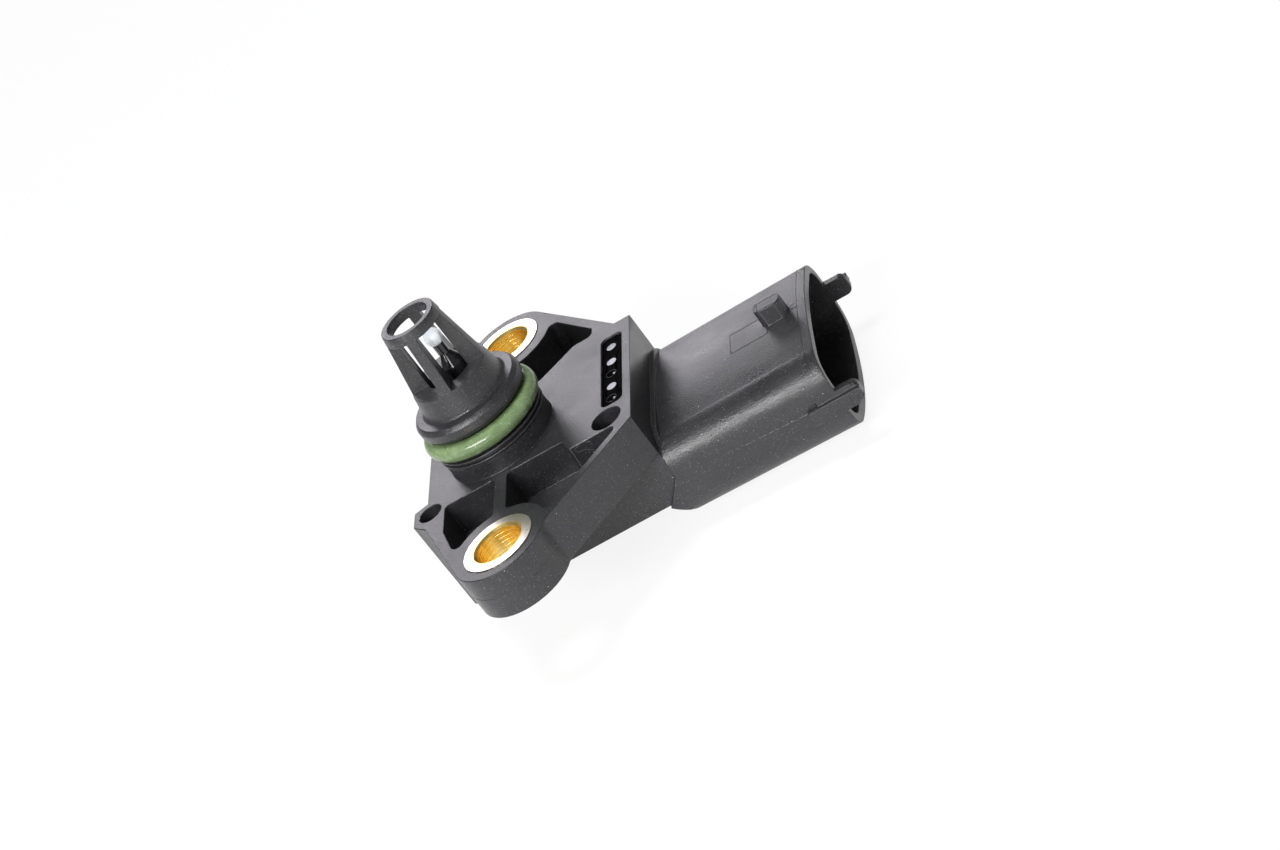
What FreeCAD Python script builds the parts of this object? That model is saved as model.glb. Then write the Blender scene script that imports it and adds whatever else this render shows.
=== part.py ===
"""Manifold absolute pressure sensor with a built-in air temperature probe. Millimetres.

The origin is on the nozzle axis, on the face that seats on the manifold.
X runs towards the plug socket, Y from the lower to the upper screw hole, Z along the nozzle to its tip.
"""
import FreeCAD, Part
import math
import os
import Sketcher

doc = FreeCAD.newDocument("pressure_sensor")
sheet = doc.addObject("Spreadsheet::Sheet", "Sizes")
finished = []


class Size:
    """A length with the formula that binds it to the sheet."""

    def __init__(self, number, formula):
        self.number = number
        self.formula = formula

    def __add__(self, other):
        other = as_size(other)
        return Size(self.number + other.number, f"({self.formula} + {other.formula})")

    def __sub__(self, other):
        other = as_size(other)
        return Size(self.number - other.number, f"({self.formula} - {other.formula})")

    def __mul__(self, other):
        other = as_size(other)
        return Size(self.number * other.number, f"({self.formula} * {other.formula})")

    def __truediv__(self, other):
        other = as_size(other)
        return Size(self.number / other.number, f"({self.formula} / {other.formula})")

    def __neg__(self):
        return Size(-self.number, f"(-1 * {self.formula})")

    def root(self):
        return Size(math.sqrt(self.number), f"sqrt({self.formula})")

    __radd__ = __add__
    __rmul__ = __mul__


def as_size(value):
    return value if isinstance(value, Size) else Size(value, f"({value:.9g})")


class Names:
    """Holds the named sizes, one attribute for each cell."""


d = Names()


def put(name, number):
    """Writes one named size to the sheet."""
    row = len(vars(d)) + 1
    sheet.set(f"A{row}", name)
    sheet.set(f"B{row}", str(number))
    sheet.setAlias(f"B{row}", name)
    setattr(d, name, Size(number, f"Sizes.{name}"))


def bind(item, prop, value):
    item.setExpression(prop, as_size(value).formula)


def new_body(name):
    item = doc.addObject("PartDesign::Body", name)
    item.Label = name
    return item


def new_sketch(body, name, plane="XY_Plane", lift=0):
    item = body.newObject("Sketcher::SketchObject", name)
    support = [feature for feature in body.Origin.OriginFeatures if feature.Role == plane][0]
    item.AttachmentSupport = [(support, "")]
    item.MapMode = "FlatFace"
    bind(item, "AttachmentOffset.Base.z", lift)
    return item


def fix_point(sketch, curve, end, x, y):
    """Holds one point of a curve at x, y from the sketch's origin."""
    for kind, value in (("DistanceX", as_size(x)), ("DistanceY", as_size(y))):
        index = sketch.addConstraint(Sketcher.Constraint(kind, -1, 1, curve, end, value.number))
        sketch.setExpression(f"Constraints[{index}]", value.formula)


def fix_radius(sketch, curve, radius):
    radius = as_size(radius)
    index = sketch.addConstraint(Sketcher.Constraint("Radius", curve, radius.number))
    sketch.setExpression(f"Constraints[{index}]", radius.formula)


def arc_between(start, end, radius, turn):
    """The arc under half a turn from start to end, turning ccw or cw."""
    half = (end - start) * 0.5
    side = FreeCAD.Vector(-half.y, half.x, 0).normalize()
    reach = math.sqrt(max(radius ** 2 - half.Length ** 2, 0))
    centre = start + half + side * (reach if turn == "ccw" else -reach)
    first, last = (start, end) if turn == "ccw" else (end, start)
    from_angle = math.atan2(first.y - centre.y, first.x - centre.x)
    to_angle = math.atan2(last.y - centre.y, last.x - centre.x)
    circle = Part.Circle(centre, FreeCAD.Vector(0, 0, 1), radius)
    return Part.ArcOfCircle(circle, from_angle, to_angle)


def draw_loop(sketch, corners):
    """Closed outline. A corner is (x, y), or (x, y, turn, radius) where an arc leaves it."""
    points = [FreeCAD.Vector(as_size(c[0]).number, as_size(c[1]).number, 0) for c in corners]
    curves = []
    for place, corner in enumerate(corners):
        start, end = points[place], points[(place + 1) % len(points)]
        if len(corner) == 2:
            index = sketch.addGeometry(Part.LineSegment(start, end))
            curves.append((index, 1, 2))
        else:
            radius = as_size(corner[3])
            index = sketch.addGeometry(arc_between(start, end, radius.number, corner[2]))
            curves.append((index, 1, 2) if corner[2] == "ccw" else (index, 2, 1))
    for place, corner in enumerate(corners):
        index, first, last = curves[place]
        following, following_first, _ = curves[(place + 1) % len(curves)]
        sketch.addConstraint(Sketcher.Constraint("Coincident", index, last, following, following_first))
        fix_point(sketch, index, first, corner[0], corner[1])
        if len(corner) == 4:
            fix_radius(sketch, index, corner[3])


def draw_circle(sketch, x, y, radius):
    centre = FreeCAD.Vector(as_size(x).number, as_size(y).number, 0)
    circle = Part.Circle(centre, FreeCAD.Vector(0, 0, 1), as_size(radius).number)
    index = sketch.addGeometry(circle)
    fix_point(sketch, index, 3, x, y)
    fix_radius(sketch, index, radius)


def draw_box(sketch, left, right, low, high):
    draw_loop(sketch, [(left, low), (right, low), (right, high), (left, high)])


def draw_round_box(sketch, left, right, low, high, radius):
    draw_loop(sketch, [
        (left + radius, low), (right - radius, low, "ccw", radius),
        (right, low + radius), (right, high - radius, "ccw", radius),
        (right - radius, high), (left + radius, high, "ccw", radius),
        (left, high - radius), (left, low + radius, "ccw", radius)])


def pad(body, sketch, length, back=False):
    item = body.newObject("PartDesign::Pad", sketch.Name + "_pad")
    item.Profile = sketch
    item.Reversed = back
    bind(item, "Length", length)
    doc.recompute()
    return item


def pocket(body, sketch, depth, ahead=False):
    """Cuts against the sketch's normal, or along it where ahead is true."""
    before = body.Shape.Volume
    item = body.newObject("PartDesign::Pocket", sketch.Name + "_pocket")
    item.Profile = sketch
    item.Reversed = ahead
    bind(item, "Length", depth)
    doc.recompute()
    if not body.Shape.Volume < before - 1e-6:
        raise RuntimeError(f"{item.Name} removes nothing")
    return item


def loft(body, first, last):
    """Straight sided body between two sections."""
    item = body.newObject("PartDesign::AdditiveLoft", first.Name + "_loft")
    item.Profile = first
    item.Sections = [last]
    item.Ruled = True
    doc.recompute()
    return item


def revolve(body, sketch, axis="V_Axis"):
    item = body.newObject("PartDesign::Revolution", sketch.Name + "_turned")
    item.Profile = sketch
    item.ReferenceAxis = (sketch, [axis])
    item.Angle = 360
    doc.recompute()
    return item


def repeat_about_z(body, feature, copies):
    item = body.newObject("PartDesign::PolarPattern", feature.Name + "_ring")
    item.Originals = [feature]
    item.Axis = ([f for f in body.Origin.OriginFeatures if f.Role == "Z_Axis"][0], [""])
    item.Angle = 360
    item.Occurrences = copies
    body.Tip = item
    doc.recompute()


def repeat_along_y(body, feature, copies, pitch):
    """Copies towards -Y, the pitch apart."""
    item = body.newObject("PartDesign::LinearPattern", feature.Name + "_row")
    item.Originals = [feature]
    item.Direction = ([f for f in body.Origin.OriginFeatures if f.Role == "Y_Axis"][0], [""])
    item.Reversed = True
    bind(item, "Length", pitch * (copies - 1))
    item.Occurrences = copies
    body.Tip = item
    doc.recompute()


def edges_where(shape, test):
    """Names of the edges whose middle point and direction pass the test."""
    names = []
    for number, edge in enumerate(shape.Edges, 1):
        middle = edge.valueAt((edge.FirstParameter + edge.LastParameter) / 2)
        span = edge.Vertexes[-1].Point - edge.Vertexes[0].Point
        if test(middle, span):
            names.append(f"Edge{number}")
    return names


def is_upright(span, length):
    """True for a vertical edge of the given length."""
    return abs(span.Length - length.number) < 0.01 and abs(span.z) > 0.99 * span.Length


def fillet(body, radius, test):
    base = body.Tip
    names = edges_where(base.Shape, test)
    item = body.newObject("PartDesign::Fillet", base.Name + "_round")
    item.Base = (base, names)
    bind(item, "Radius", radius)
    doc.recompute()
    if not names or "Invalid" in item.State:
        raise RuntimeError(f"{item.Name} failed on {len(names)} edges")
    return item


def finish(item, name):
    item.Label = name
    finished.append((name, item))
    return item


def join(name, shapes):
    item = doc.addObject("Part::MultiFuse", name)
    item.Shapes = shapes
    doc.recompute()
    return item


def cut_from(name, base, tools):
    """Base less the tools, which stay as sub-parts of their own."""
    item = doc.addObject("Part::Cut", name + "_part")
    item.Base = base
    item.Tool = join(name + "_seats", tools) if len(tools) > 1 else tools[0]
    doc.recompute()
    return item


def tangent_point(x, y, centre_y, radius, side):
    """Where the line from x, y touches the circle about (0, centre_y), on the side given as 1 or -1."""
    dx, dy = as_size(x), y - centre_y
    span = dx * dx + dy * dy
    along = radius * radius / span
    across = radius * (span - radius * radius).root() / span * side
    return along * dx - across * dy, centre_y + along * dy + across * dx


# Driving dimensions, grouped by what they belong to
sizes = {
    # screw ears and their bushes
    "hole_spacing": 48.0,
    "ear_radius": 6.6,
    "flange_depth": 6.5,
    "bush_radius": 5.0,
    "bush_bore": 3.25,
    "bush_stand": 0.1,
    "bush_bevel": 0.3,
    # case and the step at its left side
    "case_left": -11.4,
    "case_end": 19.6,
    "case_low": -11.7,
    "case_high": 13.6,
    "case_depth": 14.0,
    "step_left": -13.4,
    "step_low": -9.6,
    "step_high": -6.3,
    "step_run": 0.7,
    # webs between the ears and the case
    "brace_foot_x": 6.3,
    "brace_foot_drop": 1.0,
    "brace_fillet": 3.0,
    "upper_shelf": 2.4,
    "upper_left_shelf": 2.6,
    # cored recesses
    "recess_depth": 4.9,
    "recess_round": 0.8,
    "recess_edge": 8.6,
    "recess_rib": 1.85,
    "recess_left": -8.55,
    "ear_wall": 2.05,
    "recess_bend": 14.5,
    "recess_tip_x": -7.1,
    "recess_tip_y": 19.4,
    "brace_wall": 1.27,
    "jog_left": 9.3,
    "jog_right": 10.2,
    "jog_drop": 2.8,
    # outline of the upper right recess
    "upper_tip_x": 8.1,
    "upper_tip_y": 22.4,
    "upper_foot_x": 13.7,
    "upper_foot_y": 15.4,
    "upper_shelf_x": 10.9,
    "upper_shelf_y": 13.65,
    "upper_slant_x": 5.7,
    "upper_slant_y": 9.7,
    # window and its round spots
    "window_left": 15.25,
    "window_right": 18.35,
    "window_low": -6.1,
    "window_high": 10.75,
    "window_depth": 0.6,
    "window_round": 0.9,
    "spot_radius": 0.73,
    "spot_x": 16.4,
    "spot_first": 9.17,
    "spot_second": 5.43,
    "spot_pitch": 3.03,
    "spot_deep": 2.2,
    # blind holes
    "pin_hole_x": 15.95,
    "pin_hole_y": -8.95,
    "pin_hole_radius": 2.13,
    "pin_hole_depth": 4.5,
    "small_hole_x": -10.85,
    "small_hole_y": -8.25,
    "small_hole_radius": 1.65,
    "small_hole_depth": 5.5,
    # collar that carries the nozzle
    "collar_radius": 7.75,
    "collar_height": 3.4,
    "collar_root": 1.0,
    "lip_radius": 7.95,
    "lip_height": 0.35,
    # nozzle
    "spigot_radius": 5.0,
    "spigot_depth": 3.4,
    "port_bore": 3.0,
    "inner_bore": 3.9,
    "inner_bore_top": 9.0,
    "bore_cone": 1.5,
    "groove_radius": 6.1,
    "shoulder_low": 6.4,
    "shoulder_high": 8.75,
    "shoulder_radius": 7.86,
    "shoulder_bevel": 0.65,
    "shoulder_lean": 0.45,
    "cone_radius": 6.05,
    "cone_foot": 0.4,
    "tip_radius": 3.93,
    "tip_height": 21.5,
    "slot_low": 12.2,
    "tip_rim": 1.4,
    "rib_width": 1.5,
    # seal ring
    "ring_section": 1.25,
    "ring_level": 4.9,
    # plug socket
    "socket_start": 16.0,
    "socket_end": 43.0,
    "socket_floor": 24.0,
    "socket_wall": 1.2,
    "socket_middle": 1.15,
    "socket_half": 13.8,
    "socket_flare": 0.35,
    "socket_top": -4.68,
    "socket_crown": 60.0,
    "socket_round": 4.2,
    "socket_side_low": -13.3,
    "socket_base": -17.9,
    "socket_base_inset": 3.6,
    "socket_base_round": 4.8,
    "socket_bow": 40.0,
    "heel_high": -10.4,
    "heel_level": -14.1,
    "heel_low": -17.9,
    "heel_reach": 3.0,
    "heel_over": 3.0,
    # ridge round the socket's root
    "ridge_start": 19.5,
    "ridge_length": 0.8,
    "ridge_top": -4.8,
    "ridge_low": -12.0,
    "ridge_left": -11.4,
    "ridge_right": 14.2,
    "ridge_round": 4.4,
    # tabs and rails beside the socket's mouth
    "tab_end": 46.0,
    "tab_start": 40.0,
    "tab_low": -13.25,
    "tab_high": -10.4,
    "tab_thick": 1.2,
    "tab_round": 1.0,
    "rail_start": 38.6,
    "rail_low": -13.2,
    "rail_high": -11.1,
    "rail_proud": 0.7,
    # locking peg
    "peg_x": 38.6,
    "peg_y": 1.8,
    "peg_length": 4.0,
    "peg_width": 2.5,
    "peg_top": -2.3,
    "peg_round": 1.15,
    # chamber and its cover
    "chamber_left": -9.2,
    "chamber_end": 14.6,
    "chamber_low": -9.5,
    "chamber_high": 11.4,
    "chamber_roof": -7.0,
    "chamber_round": 1.5,
    "cover_margin": 1.1,
    "cover_thick": 1.4,
    "cover_gap": 0.1,
    "cover_dish": 0.4,
    "cover_rim": 2.0,
    "bond_thick": 0.3,
    "bond_width": 0.8,
    # lead frame
    "strip_thick": 0.6,
    "strip_width": 1.7,
    "strip_top": -0.9,
    "strip_back": 15.3,
    "strip_front": 17.7,
    "pad_left": 12.2,
    "strip_spare": -5.75,
    "pad_level": -7.3,
    "blade_first": 8.65,
    "blade_pitch": 5.0,
    "blade_width": 1.5,
    "blade_level": -11.9,
    "blade_end": 37.0,
    "blade_jog": 22.0,
    "blade_start": 18.6,
    "blade_tip": 1.2,
    # pressure cell
    "cell_x": -3.4,
    "cell_y": 0.4,
    "cell_half": 2.9,
    "cell_recess": 1.8,
    "duct_radius": 1.2,
    "duct_x": -2.5,
    "frame_half": 2.6,
    "frame_wall": 0.6,
    "frame_height": 1.5,
    "gel_height": 1.3,
    "pedestal_half": 1.0,
    "pedestal_height": 0.6,
    "chip_half": 0.9,
    "chip_height": 0.4,
    # circuit board
    "board_left": -7.6,
    "board_right": 10.6,
    "board_low": -6.4,
    "board_high": 8.2,
    "board_thick": 0.7,
    "board_bond": 0.2,
    "signal_x": 4.3,
    "signal_y": 3.6,
    "signal_half": 2.2,
    "signal_height": 1.0,
    "cap_x": 7.4,
    "cap_first": -4.2,
    "cap_pitch": 3.2,
    "cap_length": 2.0,
    "cap_width": 1.25,
    "cap_height": 0.9,
    "wire_radius": 0.1,
    "wire_reach": 1.15,
    # temperature probe
    "probe_x": 1.1,
    "probe_y": 0.4,
    "lead_radius": 0.22,
    "lead_spread": 0.42,
    "lead_low": -8.5,
    "lead_drop": 0.4,
    "bead_radius": 1.25,
    "bead_drop": 4.2,
    "neck_radius": 0.75,
    "neck_drop": 0.9,
    "stem_radius": 1.7,
    "stem_drop": 4.3,
    "stem_foot": -1.2,
    "stem_disc": 2.2,
    "vent_width": 2.4,
    "vent_depth": 1.6,
    "vent_over": 1.0,
    "lead_gap": 0.08,
    "solder_height": 0.4,
    "solder_tip": 0.3,
    "solder_gap": 0.02,
}
for size_name, size_number in sizes.items():
    put(size_name, size_number)
doc.recompute()

ear_y = d.hole_spacing / 2
ear_hole = d.bush_radius + d.ear_wall
chip_face = d.chamber_roof - d.board_bond
board_back = chip_face - d.board_thick
bead_level = d.tip_height - d.bead_drop
left_ring_angle = 150
upper_ring_angle = -12
paired_spots = 2
cage_slots = 4
capacitor_count = 4
corner_reach = 0.05


def ring_point(side, degrees):
    """A point on the wall about the screw bush of the upper ear (1) or the lower ear (-1)."""
    angle = math.radians(degrees)
    return ear_hole * math.cos(angle), ear_y * side + ear_hole * math.sin(angle)


def brace_line(inset):
    """A point and the direction of the brace's outer line, or of one moved into the web by the inset."""
    rise_x = d.case_end - d.brace_foot_x
    rise_y = ear_y + d.case_low + d.brace_foot_drop
    length = (rise_x * rise_x + rise_y * rise_y).root()
    along_x = rise_x / length
    along_y = rise_y / length
    return d.brace_foot_x - along_y * inset, -ear_y - d.brace_foot_drop + along_x * inset, along_x, along_y


def on_brace_ring(inset, radius):
    """Where that line crosses the circle of the given radius about the lower ear."""
    x, y, along_x, along_y = brace_line(inset)
    ahead = x * along_x + (y + ear_y) * along_y
    off = x * along_y - (y + ear_y) * along_x
    step = (radius * radius - off * off).root() - ahead
    return x + along_x * step, y + along_y * step


def on_brace_level(inset, level):
    """Where that line reaches the given Y."""
    x, y, along_x, along_y = brace_line(inset)
    return x + (level - y) * along_x / along_y, level


# Housing: flange, case and plug socket in one moulding
def draw_socket(sketch, grow):
    """Rounded section of the plug socket, its roof and floor slightly bowed."""
    half = d.socket_half + grow
    right = d.socket_middle + half
    left = d.socket_middle - half
    corner = d.socket_round + grow
    crown = d.socket_crown + grow
    chord = d.socket_half - d.socket_round
    top = d.socket_top + grow - crown + (crown * crown - chord * chord).root()
    base = d.socket_base - grow
    inset = d.socket_base_inset
    low_round = d.socket_base_round + grow
    draw_loop(sketch, [
        (left + corner, top, "cw", crown), (right - corner, top, "cw", corner),
        (right, top - corner), (right, d.socket_side_low, "cw", low_round),
        (right - inset, base, "cw", d.socket_bow), (left + inset, base, "cw", low_round),
        (left, d.socket_side_low), (left, top - corner, "cw", corner)])


def add_shroud(body):
    """Shroud of the plug socket, flared towards its mouth, with a heel that reaches under the case."""
    root = new_sketch(body, "shroud_root", "YZ_Plane", d.socket_start)
    draw_socket(root, -d.socket_flare)
    mouth = new_sketch(body, "shroud_mouth", "YZ_Plane", d.socket_end)
    draw_socket(mouth, as_size(0))
    loft(body, root, mouth)
    heel = new_sketch(body, "heel_slope", "XZ_Plane", -2 * d.socket_half)
    high = d.socket_top + d.heel_over
    low = d.socket_base - d.heel_over
    behind = d.socket_start - d.heel_over
    draw_loop(heel, [
        (d.case_end, high), (behind, high), (behind, low), (d.case_end, low), (d.case_end, d.heel_low),
        (d.case_end - d.heel_reach, d.heel_level), (d.case_end, d.heel_high)])
    pocket(body, heel, 4 * d.socket_half, ahead=True)


def add_case(body):
    base = new_sketch(body, "case_outline")
    draw_loop(base, [
        (d.case_end, d.case_high), (d.case_left, d.case_high), (d.case_left, d.step_high + d.step_run),
        (d.step_left, d.step_high), (d.step_left, d.step_low), (d.case_left, d.case_low),
        (d.case_end, d.case_low)])
    pad(body, base, d.case_depth, back=True)


def add_flange(body):
    """Two screw ears, the lower one braced at 45 degrees and the upper one by a straight tangent."""
    for side, name in ((1, "upper_ear"), (-1, "lower_ear")):
        ear = new_sketch(body, name)
        draw_circle(ear, 0, ear_y * side, d.ear_radius)
        pad(body, ear, d.flange_depth, back=True)
    lower = new_sketch(body, "lower_web")
    draw_loop(lower, [
        (d.case_left, d.case_low), tangent_point(d.case_left, d.case_low, -ear_y, d.ear_radius, 1),
        (0, -ear_y), (d.brace_foot_x, -ear_y - d.brace_foot_drop),
        (d.case_end, d.case_low), (0, 0)])
    pad(body, lower, d.flange_depth, back=True)
    shelf_x = d.case_end - d.upper_shelf
    left_y = d.case_high - d.upper_left_shelf
    upper = new_sketch(body, "upper_web")
    draw_loop(upper, [
        (shelf_x, d.case_high), tangent_point(shelf_x, d.case_high, ear_y, d.ear_radius, 1),
        (0, ear_y), tangent_point(d.case_left, left_y, ear_y, d.ear_radius, -1),
        (d.case_left, left_y), (0, 0)])
    pad(body, upper, d.flange_depth, back=True)


def add_collar(body):
    """Stub that carries the nozzle, with two thin lips under the seal."""
    sketch = new_sketch(body, "collar_section", "XZ_Plane")
    waist = d.collar_radius - d.lip_height
    levels = [d.collar_height - d.lip_height * step for step in range(4)]
    draw_loop(sketch, [
        (0, -d.collar_root), (d.collar_radius, -d.collar_root), (d.collar_radius, levels[3]),
        (d.lip_radius, levels[3]),
        (d.lip_radius, levels[2]), (waist, levels[2]), (waist, levels[1]), (d.lip_radius, levels[1]),
        (d.lip_radius, levels[0]), (0, levels[0])])
    revolve(body, sketch)


def cut_recesses(body):
    """Four cored recesses beside the ears, which keep the walls thin."""
    rib = d.recess_rib / 2
    rib_angle = math.degrees(math.acos(rib.number / ear_hole.number))
    for side, name in ((-1, "lower_left_recess"), (1, "upper_left_recess")):
        turn = "cw" if side < 0 else "ccw"
        sketch = new_sketch(body, name)
        draw_loop(sketch, [
            (d.recess_left, d.recess_edge * side), (d.recess_left, d.recess_bend * side),
            (d.recess_tip_x, d.recess_tip_y * side),
            ring_point(side, -side * left_ring_angle) + (turn, ear_hole),
            ring_point(side, -side * (180 - rib_angle)), (-rib, d.recess_edge * side)])
        pocket(body, sketch, d.recess_depth)
    jog_top = -d.recess_edge - d.jog_drop
    right = new_sketch(body, "lower_right_recess")
    draw_loop(right, [
        (rib, -d.recess_edge), ring_point(-1, rib_angle) + ("cw", ear_hole),
        on_brace_ring(d.brace_wall, ear_hole), on_brace_level(d.brace_wall, jog_top), (d.jog_right, jog_top),
        (d.jog_left, -d.recess_edge)])
    pocket(body, right, d.recess_depth)
    upper = new_sketch(body, "upper_right_recess")
    draw_loop(upper, [
        (rib, d.recess_edge), ring_point(1, -rib_angle) + ("ccw", ear_hole),
        ring_point(1, upper_ring_angle), (d.upper_tip_x, d.upper_tip_y), (d.upper_foot_x, d.upper_foot_y),
        (d.upper_foot_x, d.upper_shelf_y), (d.upper_shelf_x, d.upper_shelf_y),
        (d.upper_slant_x, d.upper_slant_y)])
    pocket(body, upper, d.recess_depth)


def cut_front_holes(body):
    """Bush seats, locating holes and the window with its five round spots."""
    seats = new_sketch(body, "bush_seats")
    draw_circle(seats, 0, ear_y, d.bush_radius)
    draw_circle(seats, 0, -ear_y, d.bush_radius)
    pocket(body, seats, d.flange_depth)
    pin = new_sketch(body, "pin_hole")
    draw_circle(pin, d.pin_hole_x, d.pin_hole_y, d.pin_hole_radius)
    pocket(body, pin, d.pin_hole_depth)
    small = new_sketch(body, "small_hole")
    draw_circle(small, d.small_hole_x, d.small_hole_y, d.small_hole_radius)
    pocket(body, small, d.small_hole_depth)
    window = new_sketch(body, "window")
    draw_round_box(window, d.window_left, d.window_right, d.window_low, d.window_high, d.window_round)
    pocket(body, window, d.window_depth)
    floor = -d.window_depth
    alone = new_sketch(body, "first_spot", lift=floor)
    draw_circle(alone, d.spot_x, d.spot_first, d.spot_radius)
    pocket(body, alone, floor - d.strip_top)
    shallow = new_sketch(body, "second_spot", lift=floor)
    draw_circle(shallow, d.spot_x, d.spot_second, d.spot_radius)
    repeat_along_y(body, pocket(body, shallow, floor - d.strip_top), paired_spots, d.spot_pitch * 2)
    deep = new_sketch(body, "third_spot", lift=floor)
    draw_circle(deep, d.spot_x, d.spot_second - d.spot_pitch, d.spot_radius)
    repeat_along_y(body, pocket(body, deep, floor + d.spot_deep), paired_spots, d.spot_pitch * 2)


def add_socket_details(body):
    """Ridge round the shroud's root, its bore, locking peg, side tabs and rails."""
    ridge = new_sketch(body, "base_ridge", "YZ_Plane", d.ridge_start)
    draw_loop(ridge, [
        (d.ridge_left, d.ridge_low), (d.ridge_left, d.ridge_top - d.ridge_round, "cw", d.ridge_round),
        (d.ridge_left + d.ridge_round, d.ridge_top),
        (d.ridge_right - d.ridge_round, d.ridge_top, "cw", d.ridge_round),
        (d.ridge_right, d.ridge_top - d.ridge_round), (d.ridge_right, d.ridge_low)])
    pad(body, ridge, d.ridge_length)
    bore = new_sketch(body, "socket_bore", "YZ_Plane", d.socket_end)
    draw_socket(bore, -d.socket_wall)
    pocket(body, bore, d.socket_end - d.socket_floor)
    for side, name in ((1, "upper"), (-1, "lower")):
        outer = d.socket_middle + d.socket_half * side
        start = outer if side > 0 else outer + d.tab_thick
        tab = new_sketch(body, name + "_tab", "XZ_Plane", -start)
        draw_loop(tab, [
            (d.tab_start, d.tab_low), (d.tab_end - d.tab_round, d.tab_low, "ccw", d.tab_round),
            (d.tab_end, d.tab_low + d.tab_round), (d.tab_end, d.tab_high - d.tab_round, "ccw", d.tab_round),
            (d.tab_end - d.tab_round, d.tab_high), (d.tab_start, d.tab_high)])
        pad(body, tab, d.tab_thick)
        start = outer + d.rail_proud if side > 0 else outer
        rail = new_sketch(body, name + "_rail", "XZ_Plane", -start)
        draw_loop(rail, [
            (d.rail_start, d.rail_low), (d.tab_end - d.tab_round, d.rail_low),
            (d.tab_end, d.rail_low + d.tab_round), (d.tab_end, d.rail_high), (d.rail_start, d.rail_high)])
        pad(body, rail, d.rail_proud)
    peg = new_sketch(body, "peg", lift=d.peg_top)
    draw_round_box(
        peg, d.peg_x - d.peg_length / 2, d.peg_x + d.peg_length / 2,
        d.peg_y - d.peg_width / 2, d.peg_y + d.peg_width / 2, d.peg_round)
    pad(body, peg, d.peg_top - d.socket_top + d.socket_wall / 2, back=True)


def chamber_box(sketch, grow):
    draw_round_box(
        sketch, d.chamber_left - grow, d.chamber_end + grow, d.chamber_low - grow, d.chamber_high + grow,
        d.chamber_round + grow)


def cell_box(sketch, half):
    draw_box(sketch, d.cell_x - half, d.cell_x + half, d.cell_y - half, d.cell_y + half)


def cut_chamber(body):
    """Electronics chamber open to the back, the nozzle bore and the ways between the two."""
    back = -d.case_depth
    room = new_sketch(body, "chamber", lift=back)
    chamber_box(room, as_size(0))
    pocket(body, room, d.case_depth + d.chamber_roof, ahead=True)
    step = new_sketch(body, "cover_seat", lift=back)
    chamber_box(step, d.cover_margin)
    pocket(body, step, d.cover_thick + d.bond_thick, ahead=True)
    bore = new_sketch(body, "nozzle_bore", lift=d.collar_height)
    draw_circle(bore, 0, 0, d.spigot_radius)
    pocket(body, bore, d.collar_height + d.spigot_depth)
    cell = new_sketch(body, "cell_recess", lift=d.chamber_roof)
    cell_box(cell, d.cell_half)
    pocket(body, cell, d.cell_recess, ahead=True)
    ways = new_sketch(body, "roof_ways", lift=-d.spigot_depth)
    draw_circle(ways, d.duct_x, d.cell_y, d.duct_radius)
    for side in (1, -1):
        draw_circle(ways, d.probe_x, d.probe_y + d.lead_spread * side, d.lead_radius + d.lead_gap)
    pocket(body, ways, -d.chamber_roof - d.spigot_depth)


def soften(body):
    """Rounds the upright corners of the recesses and the hollow beside the lower ear."""
    corner_x, corner_y = on_brace_ring(0, d.ear_radius)
    depth = d.recess_depth
    fillet(body, d.brace_fillet, lambda middle, span: is_upright(span, d.flange_depth)
           and math.hypot(middle.x - corner_x.number, middle.y - corner_y.number) < corner_reach)
    fillet(body, d.recess_round, lambda middle, span: is_upright(span, depth))


# Lead frame: four strips that pass under the window and end as the plug blades
def make_terminal(number, strip_y, blade_y):
    body = new_body(f"terminal_{number}")
    thick = d.strip_thick
    bent = new_sketch(body, f"bent_strip_{number}", "XZ_Plane", -(strip_y + d.strip_width / 2))
    draw_loop(bent, [
        (d.pad_left, d.pad_level), (d.strip_back, d.pad_level), (d.strip_back, d.strip_top),
        (d.strip_front, d.strip_top), (d.strip_front, d.blade_level), (d.blade_start + thick, d.blade_level),
        (d.blade_start + thick, d.blade_level - thick), (d.strip_front - thick, d.blade_level - thick),
        (d.strip_front - thick, d.strip_top - thick), (d.strip_back + thick, d.strip_top - thick),
        (d.strip_back + thick, d.pad_level - thick), (d.pad_left, d.pad_level - thick)])
    pad(body, bent, d.strip_width)
    flat = new_sketch(body, f"blade_{number}", lift=d.blade_level)
    half, wide = d.blade_width / 2, d.strip_width / 2
    neck = d.blade_end - d.blade_tip
    draw_loop(flat, [
        (d.blade_start, strip_y - wide), (d.blade_start + thick, strip_y - wide),
        (d.blade_jog, blade_y - half), (neck, blade_y - half),
        (d.blade_end, blade_y - half / 2), (d.blade_end, blade_y + half / 2),
        (neck, blade_y + half), (d.blade_jog, blade_y + half), (d.blade_start + thick, strip_y + wide),
        (d.blade_start, strip_y + wide)])
    pad(body, flat, thick, back=True)
    return finish(body, f"terminal_{number}")


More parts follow.
